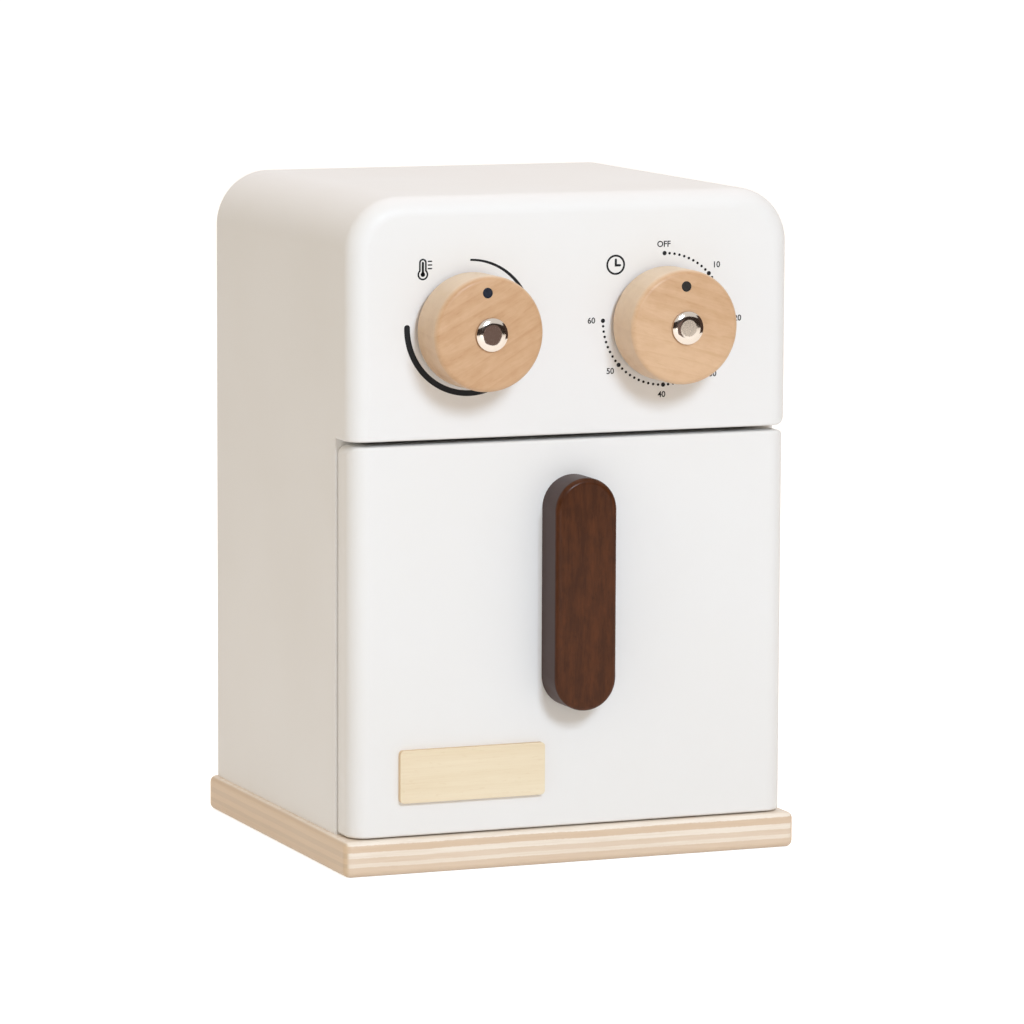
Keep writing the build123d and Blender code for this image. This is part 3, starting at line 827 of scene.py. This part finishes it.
class AIRFRYER_OT_print_timer_scale(Operator):
    """Print the timer's dotted scale with OFF and the tens of minutes"""

    bl_idname = "airfryer.print_timer_scale"
    bl_label = "Print Timer Scale"

    # How far each number strays from an even ring, across and up in millimetres
    strays = {
        0: (-0.3, 0.03), 10: (-0.18, 0.05), 20: (0.26, -0.31), 30: (0.42, 0.48), 40: (-0.58, -0.1),
        50: (-0.42, 0.5), 60: (-0.47, 0.2),
    }

    def execute(self, context):
        settings = context.scene.air_fryer_print
        centre = print_middle("timer", settings)
        start, sweep = math.radians(0.25), math.radians(270)
        last_minute = 60
        minutes = np.arange(0, last_minute + 1, 10)
        ten_steps = np.floor(settings.dot_steps * minutes / last_minute + 0.5).astype(int)
        turn = start + np.arange(settings.dot_steps + 1) * sweep / settings.dot_steps
        radii = np.full(len(turn), settings.dot_radius)
        radii[ten_steps] = settings.ten_radius
        middles = centre + settings.scale_radius * np.stack([np.sin(turn), np.cos(turn)], axis=-1)
        dots = surface_object("timer_dots", dot_grids(middles, radii, settings.film, PANEL_Y))
        finish_piece(dots, ink_material(settings), "casing")
        # A number stands further out beside the dial than above or below it
        gap, side_gap, right_gap = 3.3 * MM, 1.2 * MM, 0.5 * MM
        labels = []
        for minute, angle in zip(minutes, turn[ten_steps]):
            words = str(minute) if minute else "OFF"
            aside = math.sin(angle)
            reach = settings.scale_radius + gap + side_gap * abs(aside) + right_gap * aside
            place = centre + reach * np.array([aside, math.cos(angle)])
            place += np.array(self.strays[int(minute)]) * MM
            label = f"timer_label_{words}"
            labels.append(text_object(label, words, place, settings.cap_height, settings.film, PANEL_Y))
        numbers = joined("timer_numbers", labels)
        finish_piece(numbers, ink_material(settings), "casing")
        return {"FINISHED"}


class AIRFRYER_OT_print_clock(Operator):
    """Print the small clock beside the timer"""

    bl_idname = "airfryer.print_clock"
    bl_label = "Print Clock"

    def execute(self, context):
        settings = context.scene.air_fryer_print
        centre = print_middle("timer", settings) + np.array([settings.clock_x, settings.clock_z])
        rim_radius, rim_half = 3.27 * MM, 0.35 * MM
        minute_hand, hour_hand, hand_half = 2.0 * MM, 1.6 * MM, 0.42 * MM
        rim = arc_points(centre, rim_radius, 0.0, 2 * math.pi, 65)[:-1]
        corner = centre + np.array([0.05 * MM, -hand_half / 2])
        hands = np.array([corner + (0, minute_hand), corner, corner + (hour_hand, 0)])
        rim_grid = stroke_grid(rim, rim_half, settings.film, PANEL_Y, loop=True)
        hands_grid = stroke_grid(hands, hand_half, settings.film, PANEL_Y)
        parts = [
            surface_object("clock_rim", rim_grid, loop=True),
            surface_object("clock_hands", hands_grid),
        ]
        finish_piece(joined("clock_mark", parts), ink_material(settings), "casing")
        return {"FINISHED"}


class AIRFRYER_OT_print_heat_arc(Operator):
    """Print the arc that swells round the temperature dial"""

    bl_idname = "airfryer.print_heat_arc"
    bl_label = "Print Heat Arc"

    def execute(self, context):
        settings = context.scene.air_fryer_print
        start, end = math.radians(0.5), math.radians(270.5)
        path = arc_points(print_middle("temperature", settings), settings.scale_radius, start, end, 121)
        # The line swells along the arc: its half widths at four shares of the way round
        share = np.linspace(0.0, 1.0, len(path))
        half_width = np.interp(share, [0.0, 0.17, 0.67, 1.0], np.array([0.37, 0.55, 1.03, 1.1]) * MM)
        arc = surface_object(
            "heat_arc", stroke_grid(path, half_width, settings.film, PANEL_Y, caps=(False, True))
        )
        finish_piece(arc, ink_material(settings), "casing")
        return {"FINISHED"}


class AIRFRYER_OT_print_thermometer(Operator):
    """Print the small thermometer beside the temperature dial"""

    bl_idname = "airfryer.print_thermometer"
    bl_label = "Print Thermometer"

    def execute(self, context):
        settings = context.scene.air_fryer_print
        bulb = print_middle("temperature", settings) + np.array(
            [settings.thermometer_x, settings.thermometer_z]
        )
        line_half, bulb_radius, tube_half = 0.3 * MM, 1.72 * MM, 1.13 * MM
        tube_top, mercury_top, mercury_half, mercury_bulb = 4.2 * MM, 4.1 * MM, 0.42 * MM, 0.85 * MM
        neck = math.asin(tube_half / bulb_radius)
        crown = bulb + np.array([0.0, tube_top])
        outline = np.vstack([
            arc_points(bulb, bulb_radius, neck, 2 * math.pi - neck, 41),
            arc_points(crown, tube_half, -math.pi / 2, math.pi / 2, 17),
        ])
        mercury = np.array([bulb, bulb + (0, mercury_top)])
        outline_grid = stroke_grid(outline, line_half, settings.film, PANEL_Y, loop=True)
        mercury_grid = stroke_grid(mercury, mercury_half, settings.film, PANEL_Y)
        bulb_grid = dot_grids([bulb], [mercury_bulb], settings.film, PANEL_Y)
        parts = [
            surface_object("thermometer_outline", outline_grid, loop=True),
            surface_object("thermometer_mercury", mercury_grid),
            surface_object("thermometer_bulb", bulb_grid),
        ]
        dash_left, dash_right, dash_half = 2.05 * MM, 3.3 * MM, 0.23 * MM
        for number, height in enumerate((2.05 * MM, 3.33 * MM, 4.62 * MM)):
            dash = np.array([bulb + (dash_left, height), bulb + (dash_right, height)])
            dash_grid = stroke_grid(dash, dash_half, settings.film, PANEL_Y)
            parts.append(surface_object(f"thermometer_dash_{number}", dash_grid))
        finish_piece(joined("thermometer_mark", parts), ink_material(settings), "casing")
        return {"FINISHED"}


class AIRFRYER_OT_fill_pointers(Operator):
    """Fill the dimple of each knob with its dark pointer dot"""

    bl_idname = "airfryer.fill_pointers"
    bl_label = "Fill Pointers"

    def execute(self, context):
        dot_radius, dot_offset = 1.88 * MM, 14.7 * MM
        dot_thickness, floor_depth = 0.22 * MM, 0.97 * MM
        dots = {
            "temperature": (math.radians(-4.3), tint(33, 37, 48)),
            "timer": (0.0, tint(42, 40, 38)),
        }
        for dial, (angle, colour) in dots.items():
            knob = middle(f"{dial}_knob")
            floor_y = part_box(f"{dial}_knob")[0].y + floor_depth
            place = (knob.x + dot_offset * math.sin(angle), knob.z + dot_offset * math.cos(angle))
            grids = dot_grids([place], [dot_radius], dot_thickness, floor_y, columns=40)
            dot = surface_object(f"{dial}_pointer", grids)
            paint = dull_film(f"pointer_paint_{dial}", colour, 0.35)
            finish_piece(dot, paint, f"{dial}_dial")
        return {"FINISHED"}


class AIRFRYER_OT_build_studio(Operator):
    """Build the pale floor, the lamps, the room light, the screens of painted reflection and the camera"""

    bl_idname = "airfryer.build_studio"
    bl_label = "Build Studio"

    def execute(self, context):
        settings = context.scene.air_fryer_studio
        self.lay_floor()
        self.light_room(context.scene, settings)
        aim_height = 0.13
        aim = Vector((0.0, PANEL_Y, aim_height))
        # Name, place as seen from the aim, width, power and colour
        lamps = (
            ("key_lamp", (0.05, -1.38, 0.753), 0.35, settings.key_power, (0.715, 0.842, 1.0)),
            ("low_lamp", (-0.2, -1.6, -0.02), 0.5, settings.low_power, (1.0, 1.0, 1.0)),
            ("side_lamp", (-1.5, -0.3, 0.5), 1.0, settings.side_power, (0.9, 1.0, 0.98)),
            ("top_lamp", (0.0, 0.4, 1.35), 1.2, settings.top_power, (0.92, 0.9, 1.0)),
        )
        for name, offset, width, power, colour in lamps:
            self.hang_lamp(name, aim + Vector(offset), aim, width, power, colour)
        self.hang_screens()
        self.set_camera(context.scene, settings)
        context.scene.view_settings.view_transform = "Standard"
        return {"FINISHED"}

    def lay_floor(self):
        """The floor is a flat grid of points. Rays from the camera and mirror-like ones see it
        with a glow added, so it comes out white and keeps only a faint shadow."""
        reach = np.linspace(-8.0, 8.0, 17)
        across, along = np.meshgrid(reach, reach)
        floor = sheet_object("studio_floor", np.stack([across, along, np.zeros_like(across)], axis=-1))
        material = bpy.data.materials.new("studio_floor")
        tree = cleared_tree(material)
        plain = add_node(tree, "ShaderNodeBsdfDiffuse", {"Color": (0.8, 0.79, 0.77, 1.0)})
        glow = add_node(tree, "ShaderNodeEmission", {"Strength": 0.78})
        bright = add_node(tree, "ShaderNodeAddShader", {0: plain.outputs[0], 1: glow.outputs[0]})
        mixed = self.mix_by_ray(tree, plain, bright)
        add_node(tree, "ShaderNodeOutputMaterial", {"Surface": mixed})
        floor.data.materials.append(material)

    def mix_by_ray(self, tree, lit, seen):
        """One shader that lights the rest, and one for camera rays and mirror-like or glassy ones."""
        ray = add_node(tree, "ShaderNodeLightPath")
        either = compute(tree, "MAXIMUM", ray.outputs["Is Camera Ray"], ray.outputs["Is Glossy Ray"])
        direct = compute(tree, "MAXIMUM", either, ray.outputs["Is Transmission Ray"])
        inputs = {0: direct, 1: lit.outputs[0], 2: seen.outputs[0]}
        return add_node(tree, "ShaderNodeMixShader", inputs).outputs[0]

    def light_room(self, scene, settings):
        """Even warm light from the room, with a white background for rays that see it directly."""
        world = bpy.data.worlds.new("studio_room")
        tree = cleared_tree(world)
        warm = {"Color": (1.0, 0.84, 0.66, 1.0), "Strength": settings.ambient}
        room = add_node(tree, "ShaderNodeBackground", warm)
        white = add_node(tree, "ShaderNodeBackground", {"Color": (1.0, 1.0, 1.0, 1.0), "Strength": 1.0})
        add_node(tree, "ShaderNodeOutputWorld", {"Surface": self.mix_by_ray(tree, room, white)})
        scene.world = world

    def hang_lamp(self, name, place, aim, width, power, colour):
        """A square soft lamp that looks at a point."""
        lamp = bpy.data.lights.new(name, "AREA")
        lamp.shape = "SQUARE"
        lamp.size = width
        lamp.energy = power
        lamp.color = colour
        turn = (aim - place).to_track_quat("-Z", "Y").to_matrix().to_4x4()
        placed_object(name, lamp).matrix_world = Matrix.Translation(place) @ turn

    def hang_screens(self):
        """Dark glowing screens in front that only mirror-like rays see: painted reflections of a dark room
        in the chrome, the lacquer and the paint.

        Each is part of a ring round the origin: its points are the sine and cosine of an
        angle, counted from straight ahead of the front towards the right, times the radius.
        """
        # Name, radius, angles in degrees, lower and upper height, and colour
        screens = (
            ("reflection_screen_front", 1.25, (-80.0, 80.0), (0.09, 0.55), (0.05, 0.036, 0.03)),
            ("reflection_screen_left", 0.6, (-85.0, -50.0), (0.0, 0.45), (0.05, 0.036, 0.03)),
            ("reflection_screen_right", 0.6, (50.0, 85.0), (0.04, 0.45), (0.09, 0.06, 0.05)),
            # The brownish card paints the brownish reflection in the middle of the temperature bolt's head
            ("bolt_reflection_card", 0.44, (1.0, 18.0), (0.075, 0.235), (0.23, 0.165, 0.15)),
        )
        for name, radius, span, rise, colour in screens:
            turn = np.radians(np.linspace(*span, 33))
            ring = np.stack([radius * np.sin(turn), -radius * np.cos(turn), np.zeros_like(turn)], axis=-1)
            self.hang_screen(name, np.stack([ring + (0.0, 0.0, height) for height in rise]), colour)

    def hang_screen(self, name, grid, colour):
        """A dimly glowing sheet over a grid of points, seen by mirror-like rays alone, so it shows only as
        a painted reflection.
        """
        screen = sheet_object(name, grid)
        material = bpy.data.materials.new(name)
        tree = cleared_tree(material)
        glow = add_node(tree, "ShaderNodeEmission", {"Color": (*colour, 1.0), "Strength": 1.0})
        add_node(tree, "ShaderNodeOutputMaterial", {"Surface": glow.outputs[0]})
        screen.data.materials.append(material)
        screen.visible_camera = screen.visible_diffuse = screen.visible_shadow = False
        screen.visible_transmission = screen.visible_volume_scatter = False

    def set_camera(self, scene, settings):
        """The camera's axes come from its yaw, pitch and roll. It looks along its own -Z."""
        yaw, pitch, roll = settings.yaw, settings.pitch, settings.roll
        ahead = Vector((math.sin(yaw) * math.cos(pitch), math.cos(yaw) * math.cos(pitch), -math.sin(pitch)))
        right = Vector((math.cos(yaw), -math.sin(yaw), 0.0))
        up = right.cross(ahead)
        rolled_right = math.cos(roll) * right + math.sin(roll) * up
        rolled_up = math.cos(roll) * up - math.sin(roll) * right
        lens = bpy.data.cameras.new("photo_camera")
        lens.sensor_width = 36.0
        lens.lens = settings.lens
        lens.clip_start, lens.clip_end = 0.05, 50.0
        camera = placed_object("photo_camera", lens)
        turn = Matrix((rolled_right, rolled_up, -ahead)).transposed().to_4x4()
        camera.matrix_world = Matrix.Translation(Vector(settings.camera_place)) @ turn
        scene.camera = camera


class AIRFRYER_PT_looks(Panel):
    """Lists the steps that dress the toy air fryer"""

    bl_idname = "AIRFRYER_PT_looks"
    bl_label = "Air Fryer"
    bl_space_type = "VIEW_3D"
    bl_region_type = "UI"
    bl_category = "Air Fryer"

    def draw(self, context):
        for operator in OPERATORS:
            self.layout.operator(operator.bl_idname)
        for group in SETTINGS:
            box = self.layout.box()
            settings = getattr(context.scene, group)
            for name in settings.bl_rna.properties.keys():
                if name not in {"rna_type", "name"}:
                    box.prop(settings, name)


SETTINGS = {
    "air_fryer_paint": AirFryerPaint,
    "air_fryer_wood": AirFryerWood,
    "air_fryer_print": AirFryerPrint,
    "air_fryer_studio": AirFryerStudio,
}
OPERATORS = (
    AIRFRYER_OT_paint_casing,
    AIRFRYER_OT_varnish_base,
    AIRFRYER_OT_sand_inner_wood,
    AIRFRYER_OT_lacquer_knobs,
    AIRFRYER_OT_stain_handle,
    AIRFRYER_OT_finish_tile,
    AIRFRYER_OT_finish_metal,
    AIRFRYER_OT_print_timer_scale,
    AIRFRYER_OT_print_clock,
    AIRFRYER_OT_print_heat_arc,
    AIRFRYER_OT_print_thermometer,
    AIRFRYER_OT_fill_pointers,
    AIRFRYER_OT_build_studio,
)


def register():
    """Registers the settings, the operators and the panel."""
    for name, group in SETTINGS.items():
        bpy.utils.register_class(group)
        setattr(bpy.types.Scene, name, PointerProperty(type=group))
    for operator in OPERATORS:
        bpy.utils.register_class(operator)
    bpy.utils.register_class(AIRFRYER_PT_looks)


def unregister():
    """Takes the panel, the operators and the settings away again."""
    bpy.utils.unregister_class(AIRFRYER_PT_looks)
    for operator in reversed(OPERATORS):
        bpy.utils.unregister_class(operator)
    for name, group in SETTINGS.items():
        delattr(bpy.types.Scene, name)
        bpy.utils.unregister_class(group)


def main():
    """Dresses the part."""
    register()
    for operator in OPERATORS:
        group, name = operator.bl_idname.split(".")
        getattr(getattr(bpy.ops, group), name)()


if __name__ == "__main__":
    main()
